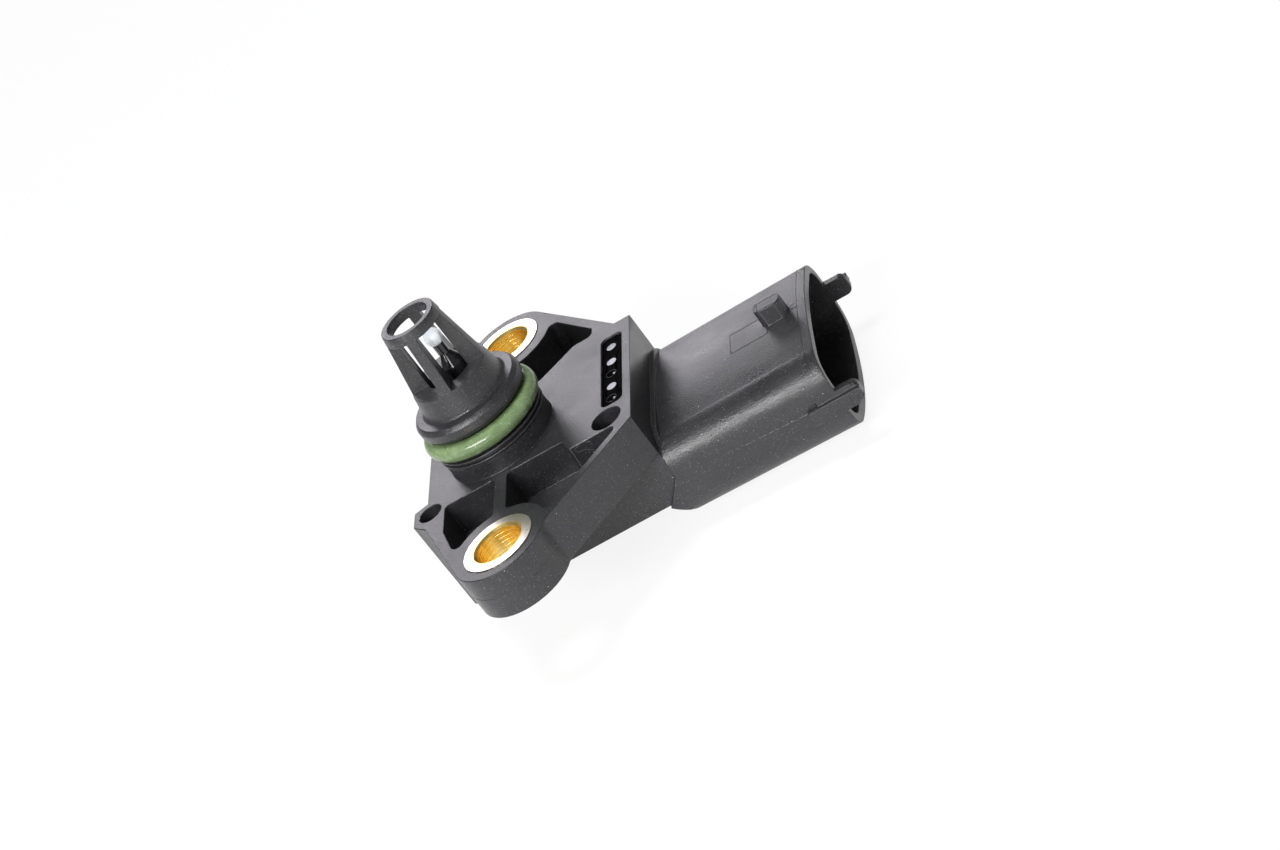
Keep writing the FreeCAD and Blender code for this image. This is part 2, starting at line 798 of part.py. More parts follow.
# Nozzle: cage with four slots, cone, shoulder over the seal groove and a glued spigot
def make_port():
    body = new_body("pressure_port")
    sketch = new_sketch(body, "port_section", "XZ_Plane")
    bevel = d.shoulder_bevel
    flat = d.shoulder_radius - d.shoulder_lean
    draw_loop(sketch, [
        (d.port_bore, d.tip_height), (d.tip_radius, d.tip_height),
        (d.cone_radius, d.shoulder_high + d.cone_foot, "ccw", d.cone_foot),
        (d.cone_radius + d.cone_foot, d.shoulder_high),
        (flat, d.shoulder_high), (d.shoulder_radius, d.shoulder_high - bevel),
        (d.shoulder_radius, d.shoulder_low + bevel), (flat, d.shoulder_low),
        (d.groove_radius, d.shoulder_low), (d.groove_radius, d.collar_height),
        (d.spigot_radius, d.collar_height), (d.spigot_radius, -d.spigot_depth),
        (d.inner_bore, -d.spigot_depth), (d.inner_bore, d.inner_bore_top),
        (d.port_bore, d.inner_bore_top + d.bore_cone)])
    revolve(body, sketch)
    slot = new_sketch(body, "cage_slot", lift=d.slot_low)
    draw_box(slot, d.rib_width / 2, d.shoulder_radius, d.rib_width / 2, d.shoulder_radius)
    repeat_about_z(body, pocket(body, slot, d.tip_height - d.tip_rim - d.slot_low, ahead=True), cage_slots)
    return finish(body, "pressure_port")


def make_seal():
    item = doc.addObject("Part::Torus", "o_ring")
    bind(item, "Radius1", d.groove_radius + d.ring_section)
    bind(item, "Radius2", d.ring_section)
    bind(item, "Placement.Base.z", d.ring_level)
    return finish(item, "o_ring")


def make_bush(name, side):
    """Brass limiter for the screw, beveled at both ends of its bore."""
    body = new_body(name)
    bind(body, "Placement.Base.y", ear_y * side)
    sketch = new_sketch(body, name + "_section", "XZ_Plane")
    bevel = d.bush_bevel
    foot = -d.flange_depth
    draw_loop(sketch, [
        (d.bush_bore, foot + bevel), (d.bush_bore + bevel, foot), (d.bush_radius, foot),
        (d.bush_radius, d.bush_stand), (d.bush_bore + bevel, d.bush_stand),
        (d.bush_bore, d.bush_stand - bevel)])
    revolve(body, sketch)
    return finish(body, name)


# Temperature probe in the nozzle
def make_lead(name, side):
    item = doc.addObject("Part::Cylinder", name)
    bind(item, "Radius", d.lead_radius)
    bind(item, "Height", bead_level - d.lead_drop - d.lead_low)
    bind(item, "Placement.Base.x", d.probe_x)
    bind(item, "Placement.Base.y", d.probe_y + d.lead_spread * side)
    bind(item, "Placement.Base.z", d.lead_low)
    return finish(item, name)


def make_ball():
    ball = doc.addObject("Part::Sphere", "bead_ball")
    bind(ball, "Radius", d.bead_radius)
    bind(ball, "Placement.Base.x", d.probe_x)
    bind(ball, "Placement.Base.y", d.probe_y)
    bind(ball, "Placement.Base.z", bead_level)
    return ball


def make_holder(leads, ball):
    """Stem that carries the leads and cups the bead, on a vented disc that seats in the nozzle's bore."""
    body = new_body("probe_stem_solid")
    bind(body, "Placement.Base.x", d.probe_x)
    bind(body, "Placement.Base.y", d.probe_y)
    sketch = new_sketch(body, "stem_section", "XZ_Plane")
    shoulder = bead_level - d.stem_drop
    neck = bead_level - d.neck_drop
    draw_loop(sketch, [
        (0, d.stem_foot), (d.stem_radius, d.stem_foot), (d.stem_radius, shoulder),
        (d.neck_radius, shoulder + d.stem_radius), (d.neck_radius, neck), (0, neck)])
    revolve(body, sketch)
    disc = new_sketch(body, "stem_disc_outline", lift=d.stem_foot)
    draw_circle(disc, -d.probe_x, -d.probe_y, d.inner_bore)
    pad(body, disc, d.stem_disc)
    for side, name in ((1, "upper_vent"), (-1, "lower_vent")):
        vent = new_sketch(body, name, lift=d.stem_foot + d.stem_disc)
        half = d.vent_width / 2
        outer = -d.probe_y + d.inner_bore * side
        inner = outer - d.vent_depth * side
        draw_box(vent, -d.probe_x - half, -d.probe_x + half, inner, outer + d.vent_over * side)
        pocket(body, vent, d.stem_disc)
    return finish(cut_from("probe_stem", body, leads + [ball]), "probe_stem")


# Back cover and the electronics behind the nozzle
def make_cover():
    body = new_body("rear_cover")
    plate = new_sketch(body, "cover_plate", lift=-d.case_depth)
    chamber_box(plate, d.cover_margin - d.cover_gap)
    pad(body, plate, d.cover_thick)
    dish = new_sketch(body, "cover_dish", lift=-d.case_depth)
    chamber_box(dish, d.cover_margin - d.cover_rim)
    pocket(body, dish, d.cover_dish, ahead=True)
    return finish(body, "rear_cover")


def make_cover_bond():
    body = new_body("cover_bond")
    ring = new_sketch(body, "bond_ring", lift=-d.case_depth + d.cover_thick)
    inner = (d.cover_margin - d.bond_width) / 2
    chamber_box(ring, inner)
    chamber_box(ring, inner + d.bond_width)
    pad(body, ring, d.bond_thick)
    return finish(body, "cover_bond")


def make_board():
    body = new_body("circuit_board")
    plate = new_sketch(body, "board_outline", lift=board_back)
    draw_box(plate, d.board_left, d.board_right, d.board_low, d.board_high)
    for side in (1, -1):
        draw_circle(plate, d.probe_x, d.probe_y + d.lead_spread * side, d.lead_radius)
    pad(body, plate, d.board_thick)
    return finish(body, "circuit_board")


def make_board_bond():
    """Glue between the board and the chamber's roof, open at the cell and round the leads."""
    body = new_body("board_bond")
    sheet_outline = new_sketch(body, "bond_outline", lift=chip_face)
    draw_box(sheet_outline, d.board_left + d.bond_width, d.board_right - d.bond_width,
             d.board_low + d.bond_width, d.board_high - d.bond_width)
    cell_box(sheet_outline, d.cell_half)
    draw_circle(sheet_outline, d.probe_x, d.probe_y, d.lead_spread * 2)
    pad(body, sheet_outline, d.board_bond)
    return finish(body, "board_bond")


def make_block(name, x, y, half, low, height):
    """Square block, by its middle and half side."""
    item = doc.addObject("Part::Box", name)
    bind(item, "Length", half * 2)
    bind(item, "Width", half * 2)
    bind(item, "Height", height)
    bind(item, "Placement.Base.x", x - half)
    bind(item, "Placement.Base.y", y - half)
    bind(item, "Placement.Base.z", low)
    return item


def make_cell():
    """Glass pedestal with the pressure chip, in a frame filled with soft gel."""
    pedestal = make_block("glass_pedestal", d.cell_x, d.cell_y, d.pedestal_half, chip_face, d.pedestal_height)
    chip = make_block(
        "pressure_chip", d.cell_x, d.cell_y, d.chip_half, chip_face + d.pedestal_height, d.chip_height)
    frame = new_body("gel_frame")
    walls = new_sketch(frame, "frame_walls", lift=chip_face)
    cell_box(walls, d.frame_half)
    cell_box(walls, d.frame_half - d.frame_wall)
    pad(frame, walls, d.frame_height)
    fill = make_block("gel_fill", d.cell_x, d.cell_y, d.frame_half - d.frame_wall, chip_face, d.gel_height)
    finish(pedestal, "glass_pedestal")
    finish(chip, "pressure_chip")
    finish(frame, "gel_frame")
    finish(cut_from("protective_gel", fill, [pedestal, chip]), "protective_gel")


def make_capacitors():
    caps = []
    for number in range(capacitor_count):
        cap = doc.addObject("Part::Box", f"cap_{number + 1}")
        bind(cap, "Length", d.cap_width)
        bind(cap, "Width", d.cap_length)
        bind(cap, "Height", d.cap_height)
        bind(cap, "Placement.Base.x", d.cap_x)
        bind(cap, "Placement.Base.y", d.cap_first + d.cap_pitch * number)
        bind(cap, "Placement.Base.z", board_back - d.cap_height)
        caps.append(cap)
    group = doc.addObject("Part::Compound", "capacitors")
    group.Links = caps
    return finish(group, "capacitors")


def make_bond_wires(strip_rows):
    """Arched wires from the board to the four strip ends."""
    wires = []
    for number, strip_y in enumerate(strip_rows, 1):
        wire = doc.addObject("Part::Torus", f"wire_{number}")
        bind(wire, "Radius1", d.wire_reach)
        bind(wire, "Radius2", d.wire_radius)
        wire.Angle3 = 180
        wire.Placement.Rotation = FreeCAD.Rotation(FreeCAD.Vector(1, 0, 0), -90)
        bind(wire, "Placement.Base.x", (d.board_right + d.pad_left) / 2)
        bind(wire, "Placement.Base.y", strip_y)
        bind(wire, "Placement.Base.z", board_back)
        wires.append(wire)
    group = doc.addObject("Part::Compound", "bond_wires")
    group.Links = wires
    return finish(group, "bond_wires")


def make_solder(leads):
    """Cones of solder where the probe's leads pass the board."""
    cones = []
    for side in (1, -1):
        cone = doc.addObject("Part::Cone", "solder_cone")
        bind(cone, "Radius1", d.solder_tip)
        bind(cone, "Radius2", d.lead_spread - d.solder_gap)
        bind(cone, "Height", d.solder_height)
        bind(cone, "Placement.Base.x", d.probe_x)
        bind(cone, "Placement.Base.y", d.probe_y + d.lead_spread * side)
        bind(cone, "Placement.Base.z", board_back - d.solder_height)
        cones.append(cone)
    both = doc.addObject("Part::Compound", "solder_cones")
    both.Links = cones
    return finish(cut_from("lead_solder", both, leads), "lead_solder")


case = new_body("case_moulding")
add_case(case)
add_flange(case)
add_collar(case)
cut_recesses(case)
soften(case)
cut_front_holes(case)
cut_chamber(case)
shroud = new_body("shroud_moulding")
add_shroud(shroud)
add_socket_details(shroud)
moulding = join("housing_moulding", [case, shroud])
strip_rows = [d.spot_first, d.spot_second, d.spot_second - d.spot_pitch * 2, d.strip_spare]
terminals = [make_terminal(number, row, d.blade_first - d.blade_pitch * (number - 1))
             for number, row in enumerate(strip_rows, 1)]
finish(cut_from("housing", moulding, terminals), "housing")
make_port()
make_seal()
make_bush("upper_bush", 1)
make_bush("lower_bush", -1)
leads = [make_lead("probe_lead_1", 1), make_lead("probe_lead_2", -1)]
ball = make_ball()
finish(cut_from("sensing_bead", ball, leads), "sensing_bead")
make_holder(leads, ball)
make_cover()
make_cover_bond()
make_board()
make_board_bond()
make_cell()
finish(make_block("signal_chip", d.signal_x, d.signal_y, d.signal_half, board_back - d.signal_height,
                  d.signal_height), "signal_chip")
make_capacitors()
make_bond_wires(strip_rows)
make_solder(leads)
doc.recompute()

for item in doc.Objects:
    if "Invalid" in item.State or "Error" in item.State:
        raise RuntimeError(f"{item.Label} failed: {item.State}")
os.makedirs("parts", exist_ok=True)
for name, item in finished:
    if item.Shape.isNull() or not item.Shape.isValid():
        raise RuntimeError(f"{name} has no valid shape")
    item.Shape.exportStep(f"parts/{name}.step")
    print(f"{name}: {len(item.Shape.Solids)} solids, {item.Shape.Volume:.2f} mm3")
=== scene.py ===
import math

import bmesh
import bpy
from mathutils import Euler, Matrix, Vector


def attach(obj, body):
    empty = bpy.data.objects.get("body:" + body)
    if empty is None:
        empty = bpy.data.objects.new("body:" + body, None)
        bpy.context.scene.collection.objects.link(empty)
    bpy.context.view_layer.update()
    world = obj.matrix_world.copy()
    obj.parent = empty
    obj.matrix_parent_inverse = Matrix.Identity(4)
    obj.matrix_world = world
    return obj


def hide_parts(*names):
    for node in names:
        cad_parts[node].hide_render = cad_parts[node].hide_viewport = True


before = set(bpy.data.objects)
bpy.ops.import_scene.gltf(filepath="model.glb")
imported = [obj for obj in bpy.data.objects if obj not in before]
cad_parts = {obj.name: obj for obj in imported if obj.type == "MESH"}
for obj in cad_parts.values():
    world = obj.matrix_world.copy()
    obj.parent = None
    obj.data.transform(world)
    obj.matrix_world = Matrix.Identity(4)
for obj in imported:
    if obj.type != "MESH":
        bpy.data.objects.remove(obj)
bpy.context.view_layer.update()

# Sensor for intake pressure and temperature. The scene is in metres, and the numbers in the dictionaries
# in millimetres unless noted. X runs to the plug socket, Z along the nozzle to its tip.

scene = bpy.context.scene
scene.view_settings.view_transform = "Standard"
collection = scene.collection
mm = 0.001


class Wire:
    # one socket of a shader tree, with the arithmetic that the materials use
    def __init__(self, surface, socket):
        self.surface = surface
        self.socket = socket

    def sum(self, operation, first, second):
        return self.surface.node("ShaderNodeMath", {"operation": operation}, {0: first, 1: second})

    def __add__(self, other):
        return self.sum("ADD", self, other)

    def __radd__(self, other):
        return self.sum("ADD", other, self)

    def __sub__(self, other):
        return self.sum("SUBTRACT", self, other)

    def __mul__(self, other):
        return self.sum("MULTIPLY", self, other)

    def __gt__(self, other):
        return self.sum("GREATER_THAN", self, other)

    def __lt__(self, other):
        return self.sum("LESS_THAN", self, other)


class Surface:
    # a material, its tree and the point on the object in millimetres
    toneSpan = 0.38, 0.64  # the noise values where a mottle is fully dark and fully pale

    def __init__(self, name):
        self.material = bpy.data.materials.new(name)
        self.material.use_nodes = True
        self.tree = self.material.node_tree
        self.tree.nodes.clear()
        coordinates = self.node("ShaderNodeTexCoord", {}, {}, "Object")
        sockets = {0: coordinates, "Scale": 1 / mm}
        self.point = self.node("ShaderNodeVectorMath", {"operation": "SCALE"}, sockets)

    def node(self, kind, settings, sockets, output=0):
        made = self.tree.nodes.new(kind)
        for key, value in settings.items():
            if key == "stops":
                ramp = made.color_ramp
                ramp.elements[0].position, ramp.elements[0].color = value[0]
                ramp.elements[1].position, ramp.elements[1].color = value[-1]
                for place, colour in value[1:-1]:
                    ramp.elements.new(place).color = colour
            else:
                setattr(made, key, value)
        for key, value in sockets.items():
            if isinstance(value, Wire):
                self.tree.links.new(value.socket, made.inputs[key])
            else:
                made.inputs[key].default_value = value
        return Wire(self, made.outputs[output])

    def blend(self, factor, first, second):
        # mix of two colours
        return self.node("ShaderNodeMix", {"data_type": "RGBA"}, {0: factor, 6: first, 7: second}, 2)

    def noise(self, scale, detail=2.0, stretch=(1, 1, 1)):
        place = self.node("ShaderNodeMapping", {}, {"Vector": self.point, "Scale": stretch})
        sockets = {"Vector": place, "Scale": scale, "Detail": detail}
        return self.node("ShaderNodeTexNoise", {}, sockets, "Fac")

    def ramp(self, factor, low, high):
        # 0 below low, 1 above high
        sockets = {"Value": factor, "From Min": low, "From Max": high}
        return self.node("ShaderNodeMapRange", {"clamp": True}, sockets)

    def mottle(self, factor, look):
        # the look's two colours in patches
        return self.blend(self.ramp(factor, *self.toneSpan), look["colour"], look["pale"])

    def coordinate(self, axis):
        return self.node("ShaderNodeSeparateXYZ", {}, {0: self.point}, axis)

    def larger(self, first, second):
        return self.node("ShaderNodeMath", {"operation": "MAXIMUM"}, {0: first, 1: second})

    def specks(self, cell, radius, share):
        # sparse round flecks: one in a share of the cells
        sockets = {"Vector": self.point, "Scale": 1 / cell}
        near = self.node("ShaderNodeTexVoronoi", {}, sockets, "Distance")
        pick = self.node("ShaderNodeTexVoronoi", {}, sockets, "Color")
        tone = self.node("ShaderNodeSeparateColor", {}, {0: pick}, 0)
        return (near < radius / cell) * (tone < share)

    def bump(self, height, distance, strength):
        sockets = {"Height": height, "Distance": distance * mm, "Strength": strength}
        return self.node("ShaderNodeBump", {}, sockets)

    def finish(self, sockets):
        self.end(self.node("ShaderNodeBsdfPrincipled", {}, sockets))
        return self.material

    def end(self, shader):
        output = self.tree.nodes.new("ShaderNodeOutputMaterial")
        self.tree.links.new(shader.socket, output.inputs["Surface"])


plasticLook = {
    "colour": (0.013, 0.013, 0.015, 1), "pale": (0.031, 0.030, 0.033, 1), "fleck": (0.46, 0.46, 0.44, 1),
    "roughness": 0.34, "roughnessSpread": 0.24, "index": 1.55, "grain": 5.0, "grainDepth": 0.05,
    "cloud": 0.16, "flow": 1.6, "flowStretch": (0.12, 1, 1),
    "grainTone": 0.6, "cloudTone": 0.25, "flowTone": 0.15,
    "fleckCell": 0.9, "fleckRadius": 0.06, "fleckShare": 0.3, "fleckHeight": 0.6,
    "dustCell": 0.30, "dustRadius": 0.05, "dustShare": 0.5, "dustTint": 0.3,
}


def glassFilled(surface, look):
    # glass filled plastic with a fine eroded grain and pale flecks of fibre
    fine = surface.noise(look["grain"], detail=3.0)
    cloud = surface.noise(look["cloud"], detail=3.0)
    flow = surface.noise(look["flow"], detail=3.0, stretch=look["flowStretch"])
    fleck = surface.specks(look["fleckCell"], look["fleckRadius"], look["fleckShare"])
    dust = surface.specks(look["dustCell"], look["dustRadius"], look["dustShare"])
    base = surface.mottle(fine * look["grainTone"] + cloud * look["cloudTone"] + flow * look["flowTone"], look)
    base = surface.blend(dust * look["dustTint"], base, look["fleck"])
    base = surface.blend(fleck, base, look["fleck"])
    spread = look["roughnessSpread"]
    rough = look["roughness"] + (cloud - 0.5) * spread + (fine - 0.5) * spread
    normal = surface.bump(fine + fleck * look["fleckHeight"], look["grainDepth"], strength=1.0)
    sockets = {"Base Color": base, "Roughness": rough, "Normal": normal, "IOR": look["index"]}
    return surface.node("ShaderNodeBsdfPrincipled", {}, sockets)


def blackPlastic(name, look):
    surface = Surface(name)
    surface.end(glassFilled(surface, look))
    return surface.material


# painted shade: the box round the small window's deep floor, which is drawn near black
windowPaintedShade = {"X": (15.2, 18.4), "Y": (-6.15, 10.8), "Z": (-2.4, -0.3)}
paintedShadeColour = (0.004, 0.004, 0.004, 1)


def housingFinishAndShade(name, look, dark):
    # the same plastic, with painted shade: a near black diffuse in place of the plastic on the small window's
    # deep floor
    surface = Surface(name)
    plastic = glassFilled(surface, look)
    shade = surface.node("ShaderNodeBsdfDiffuse", {}, {"Color": paintedShadeColour})
    inside = 1
    for axis, (low, high) in dark.items():
        reach = surface.coordinate(axis)
        inside = (reach > low) * (reach < high) * inside
    # painted shade inside the box, the plastic outside it
    surface.end(surface.node("ShaderNodeMixShader", {}, {0: inside, 1: plastic, 2: shade}))
    return surface.material


brassLook = {
    "face": (1.0, 0.93, 0.80, 1), "stain": (0.50, 0.42, 0.26, 1),
    "bore": [(0.30, (1.0, 0.88, 0.52, 1)), (0.50, (1.0, 0.74, 0.24, 1)), (0.68, (0.86, 0.52, 0.11, 1))],
    "centre": 24.0, "rim": 3.75, "boreFrom": 0.02, "boreTo": -0.5,
    "turning": 5.0, "turningStretch": (0.01, 0.01, 1), "turningDepth": 0.02,
    # the streak values set lengthwise streaks of painted reflection in the bore
    "reflectionStreak": 1.3, "reflectionStreakStretch": (1, 1, 0.06), "reflectionStreakTone": 0.6, "turningTone": 0.4,
    "cloud": 0.7, "spot": 3.0, "stainFrom": 0.58, "stainTo": 0.68, "stainTint": 0.75,
    "roughness": 0.22, "turningRoughness": 0.12, "stainRoughness": 0.2,
}


def turnedBrass(name, look):
    # pale faced end, golden bore and bore edge, tool marks that run round the bore, and lengthwise streaks in
    # the bore's colour that are painted reflection
    surface = Surface(name)
    along = surface.coordinate("X")
    offset = surface.node("ShaderNodeMath", {"operation": "ABSOLUTE"}, {0: surface.coordinate("Y")})
    offset = offset - look["centre"]
    edge = (along * along + offset * offset) < look["rim"] ** 2
    inside = surface.larger(surface.ramp(surface.coordinate("Z"), look["boreFrom"], look["boreTo"]), edge)
    rings = surface.noise(look["turning"], stretch=look["turningStretch"])
    # painted reflection: lengthwise bright and dark streaks in the bore
    reflectionStreaks = surface.noise(look["reflectionStreak"], stretch=look["reflectionStreakStretch"])
    cloud = surface.noise(look["cloud"], detail=3.0)
    spots = surface.noise(look["spot"], detail=4.0)
    tone = rings * look["turningTone"] + reflectionStreaks * look["reflectionStreakTone"]
    bore = surface.node("ShaderNodeValToRGB", {"stops": look["bore"]}, {0: tone})
    stain = surface.ramp(spots * 0.5 + cloud * 0.5, look["stainFrom"], look["stainTo"])
    face = surface.blend(stain * look["stainTint"], look["face"], look["stain"])
    base = surface.blend(inside, face, bore)
    rough = look["roughness"] + rings * look["turningRoughness"] + stain * look["stainRoughness"]
    normal = surface.bump(rings, look["turningDepth"], strength=0.6)
    return surface.finish({"Base Color": base, "Metallic": 1.0, "Roughness": rough, "Normal": normal})


rubberLook = {
    "colour": (0.108, 0.165, 0.070, 1), "pale": (0.180, 0.250, 0.125, 1), "fleck": (0.62, 0.74, 0.54, 1),
    "grain": 6.0, "grainDepth": 0.006, "cloud": 0.5,
    "fleckCell": 0.42, "fleckRadius": 0.05, "fleckShare": 0.6, "fleckTint": 0.7,
    "roughness": 0.26, "cloudRoughness": 0.2, "fleckRoughness": 0.2,
}


def sealRubber(name, look):
    surface = Surface(name)
    fine = surface.noise(look["grain"], detail=3.0)
    cloud = surface.noise(look["cloud"])
    bloom = surface.specks(look["fleckCell"], look["fleckRadius"], look["fleckShare"])
    base = surface.mottle(fine * 0.5 + cloud * 0.5, look)
    base = surface.blend(bloom * look["fleckTint"], base, look["fleck"])
    rough = look["roughness"] + (cloud - 0.5) * look["cloudRoughness"] + bloom * look["fleckRoughness"]
    normal = surface.bump(fine, look["grainDepth"], strength=0.8)
    return surface.finish({"Base Color": base, "Roughness": rough, "Normal": normal})


plainLook = {"metallic": 0.0, "grain": 2.0, "grainDepth": 0.005, "stretch": (1, 1, 1), "cloud": 0.4,
             "grainTone": 0.6, "cloudTone": 0.4, "roughnessSpread": 0.2}
plainLooks = {
    # pale worn plastic for the flash, the lint and the scratch, and also the colour of the painted highlight
    # along the recess edge
    "wornPlasticAndHighlight": {"colour": (0.06, 0.06, 0.055, 1), "pale": (0.20, 0.20, 0.19, 1), "roughness": 0.5,
                    "grain": 1.2},
    "beadGlaze": {"colour": (0.88, 0.92, 0.97, 1), "pale": (0.95, 0.97, 0.99, 1), "roughness": 0.10,
                  "grain": 0.8, "grainDepth": 0.002},
    "stemResin": {"colour": (0.010, 0.010, 0.012, 1), "pale": (0.020, 0.020, 0.022, 1), "roughness": 0.14,
                  "grain": 0.9, "grainDepth": 0.01},
    "tinnedWire": {"colour": (0.78, 0.78, 0.79, 1), "pale": (0.62, 0.62, 0.64, 1), "roughness": 0.24,
                   "metallic": 1.0, "grain": 3.0, "grainDepth": 0.004},
    "tinnedBronze": {"colour": (0.80, 0.80, 0.83, 1), "pale": (0.66, 0.66, 0.70, 1), "roughness": 0.26,
                     "metallic": 1.0, "grain": 3.0, "grainDepth": 0.004, "stretch": (0.2, 1, 1)},
    # matte grey for the tinned pads, also used for the painted glints in the blind holes
    "matteTinAndGlint": {"colour": (0.26, 0.26, 0.29, 1), "pale": (0.40, 0.40, 0.44, 1), "roughness": 0.5,
                 "grain": 1.6},
    "curedGlue": {"colour": (0.06, 0.06, 0.06, 1), "pale": (0.10, 0.10, 0.10, 1), "roughness": 0.3,
                  "grain": 0.8, "grainDepth": 0.03},
    "boardCeramic": {"colour": (0.78, 0.78, 0.75, 1), "pale": (0.86, 0.86, 0.84, 1), "roughness": 0.4,
                     "grain": 4.0},
    "cellGlass": {"colour": (0.62, 0.70, 0.70, 1), "pale": (0.70, 0.78, 0.78, 1), "roughness": 0.08,
                  "grain": 1.0, "grainDepth": 0.001},
    "silicon": {"colour": (0.30, 0.30, 0.37, 1), "pale": (0.40, 0.38, 0.48, 1), "roughness": 0.08,
                "metallic": 1.0, "grainDepth": 0.0005},
    "softGel": {"colour": (0.72, 0.70, 0.62, 1), "pale": (0.82, 0.80, 0.74, 1), "roughness": 0.05,
                "grain": 0.5, "grainDepth": 0.01},
    "chipResin": {"colour": (0.018, 0.018, 0.018, 1), "pale": (0.035, 0.035, 0.035, 1), "roughness": 0.55,
                  "grain": 5.0},
    "tanCeramic": {"colour": (0.34, 0.22, 0.12, 1), "pale": (0.44, 0.30, 0.17, 1), "roughness": 0.45,
                   "grain": 3.0},
}


def plainFinish(name, look):
    # fine mottled finish for the small and the inner pieces
    surface = Surface(name)
    fine = surface.noise(look["grain"], detail=3.0, stretch=look["stretch"])
    cloud = surface.noise(look["cloud"])
    base = surface.mottle(fine * look["grainTone"] + cloud * look["cloudTone"], look)
    rough = look["roughness"] + (fine - 0.5) * look["roughnessSpread"]
    normal = surface.bump(fine, look["grainDepth"], strength=0.7)
    return surface.finish({
        "Base Color": base, "Metallic": look["metallic"], "Roughness": rough, "Normal": normal})


housingPlasticAndShade = housingFinishAndShade("housingPlasticAndShade", plasticLook, windowPaintedShade)
nozzlePlastic = blackPlastic("nozzlePlastic", dict(plasticLook, fleckCell=1.4, roughness=0.35))
coverPlastic = blackPlastic("coverPlastic", dict(plasticLook, grain=3.5, grainDepth=0.012, fleckShare=0.25))
brass = turnedBrass("turnedBrass", brassLook)
greenRubber = sealRubber("greenRubber", rubberLook)
plain = {name: plainFinish(name, dict(plainLook, **look)) for name, look in plainLooks.items()}
print("materials made")

finishes = {
    housingPlasticAndShade: ["housing"],
    nozzlePlastic: ["pressure_port"],
    coverPlastic: ["rear_cover"],
    brass: ["upper_bush", "lower_bush"],
    greenRubber: ["o_ring"],
    plain["beadGlaze"]: ["sensing_bead"],
    plain["stemResin"]: ["probe_stem"],
    plain["tinnedWire"]: ["probe_lead_1", "probe_lead_2", "bond_wires", "lead_solder"],
    plain["tinnedBronze"]: ["terminal_1", "terminal_2", "terminal_3", "terminal_4"],
    plain["curedGlue"]: ["cover_bond", "board_bond"],
    plain["boardCeramic"]: ["circuit_board"],
    plain["cellGlass"]: ["glass_pedestal"],
    plain["silicon"]: ["pressure_chip"],
    plain["softGel"]: ["protective_gel"],
    plain["chipResin"]: ["gel_frame", "signal_chip"],
    plain["tanCeramic"]: ["capacitors"],
}
for finish, nodeNames in finishes.items():
    for nodeName in nodeNames:
        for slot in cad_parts[nodeName].material_slots:
            slot.material = finish
print("finishes on the frame's nodes:", sum(len(nodeNames) for nodeNames in finishes.values()))

# "edge" is the width of the rounded edges, "sharp" the degrees from which an edge is rounded, "narrow" the
# degrees under which two edges that meet stay sharp, "thin" the width of faces that are cut into triangles.
shells = {
    "housing": {"piece": "housingShell", "slot": "housing_plastic", "edge": 0.12, "finish": housingPlasticAndShade,
                "sharp": 32, "narrow": 40, "thin": 0.7},
    "pressure_port": {"piece": "nozzleShell", "slot": "port_plastic", "edge": 0.10, "finish": nozzlePlastic,
                      "sharp": 32, "narrow": 40, "thin": 0.2},
}
meshLimits = {"weld": 0.0001, "flatDegrees": 0.5, "segments": 2, "normalWeight": 100, "normalThreshold": 0.0001}


def edgeShares(work, choice):
    # all sharp edges, and those of them that meet no other at a narrow angle
    sharp = {edge for edge in work.edges
             if len(edge.link_faces) == 2 and edge.calc_face_angle(0) > math.radians(choice["sharp"])}
    kept = set(sharp)
    for corner in work.verts:
        meeting = [edge for edge in corner.link_edges if edge in sharp]
        for place, edge in enumerate(meeting):
            for other in meeting[place + 1:]:
                first = edge.other_vert(corner).co - corner.co
                second = other.other_vert(corner).co - corner.co
                if first.angle(second) < math.radians(choice["narrow"]):
                    kept -= {edge, other}
    return sharp, kept


def roundedShell(nodeName, choice):
    # a copy of the node's mesh with its moulded edges slightly rounded
    work = bmesh.new()
    work.from_mesh(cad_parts[nodeName].data)
    bmesh.ops.remove_doubles(work, verts=work.verts, dist=meshLimits["weld"] * mm)
    bmesh.ops.dissolve_limit(
        work, angle_limit=math.radians(meshLimits["flatDegrees"]), verts=work.verts, edges=work.edges,
        delimit={"NORMAL"})
    bmesh.ops.triangulate(work, faces=[
        face for face in work.faces if len(face.verts) > 4
        and face.calc_area() < choice["thin"] * mm * face.calc_perimeter()])
    share = work.edges.layers.float.new("bevel_weight_edge")
    sharp, kept = edgeShares(work, choice)
    for edge in work.edges:
        edge[share] = 1.0 if edge in kept else 0.0
        edge.smooth = edge not in sharp or edge in kept
    mesh = bpy.data.meshes.new(choice["piece"])
    work.to_mesh(mesh)
    work.free()
    mesh.materials.clear()
    mesh.materials.append(choice["finish"])
    for face in mesh.polygons:
        face.material_index = 0
        face.use_smooth = True
    shell = bpy.data.objects.new(choice["piece"], mesh)
    collection.objects.link(shell)
    rounding = shell.modifiers.new("edges", "BEVEL")
    rounding.width = choice["edge"] * mm
    rounding.segments = meshLimits["segments"]
    rounding.limit_method = "WEIGHT"
    rounding.use_clamp_overlap = False
    even = shell.modifiers.new("evenShading", "WEIGHTED_NORMAL")
    even.mode = "FACE_AREA_WITH_ANGLE"
    even.weight = meshLimits["normalWeight"]
    even.thresh = meshLimits["normalThreshold"]
    even.keep_sharp = True
    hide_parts(nodeName)
    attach(shell, "root")
    return shell


mouldings = {nodeName: roundedShell(nodeName, choice) for nodeName, choice in shells.items()}
print("rounded shells made")


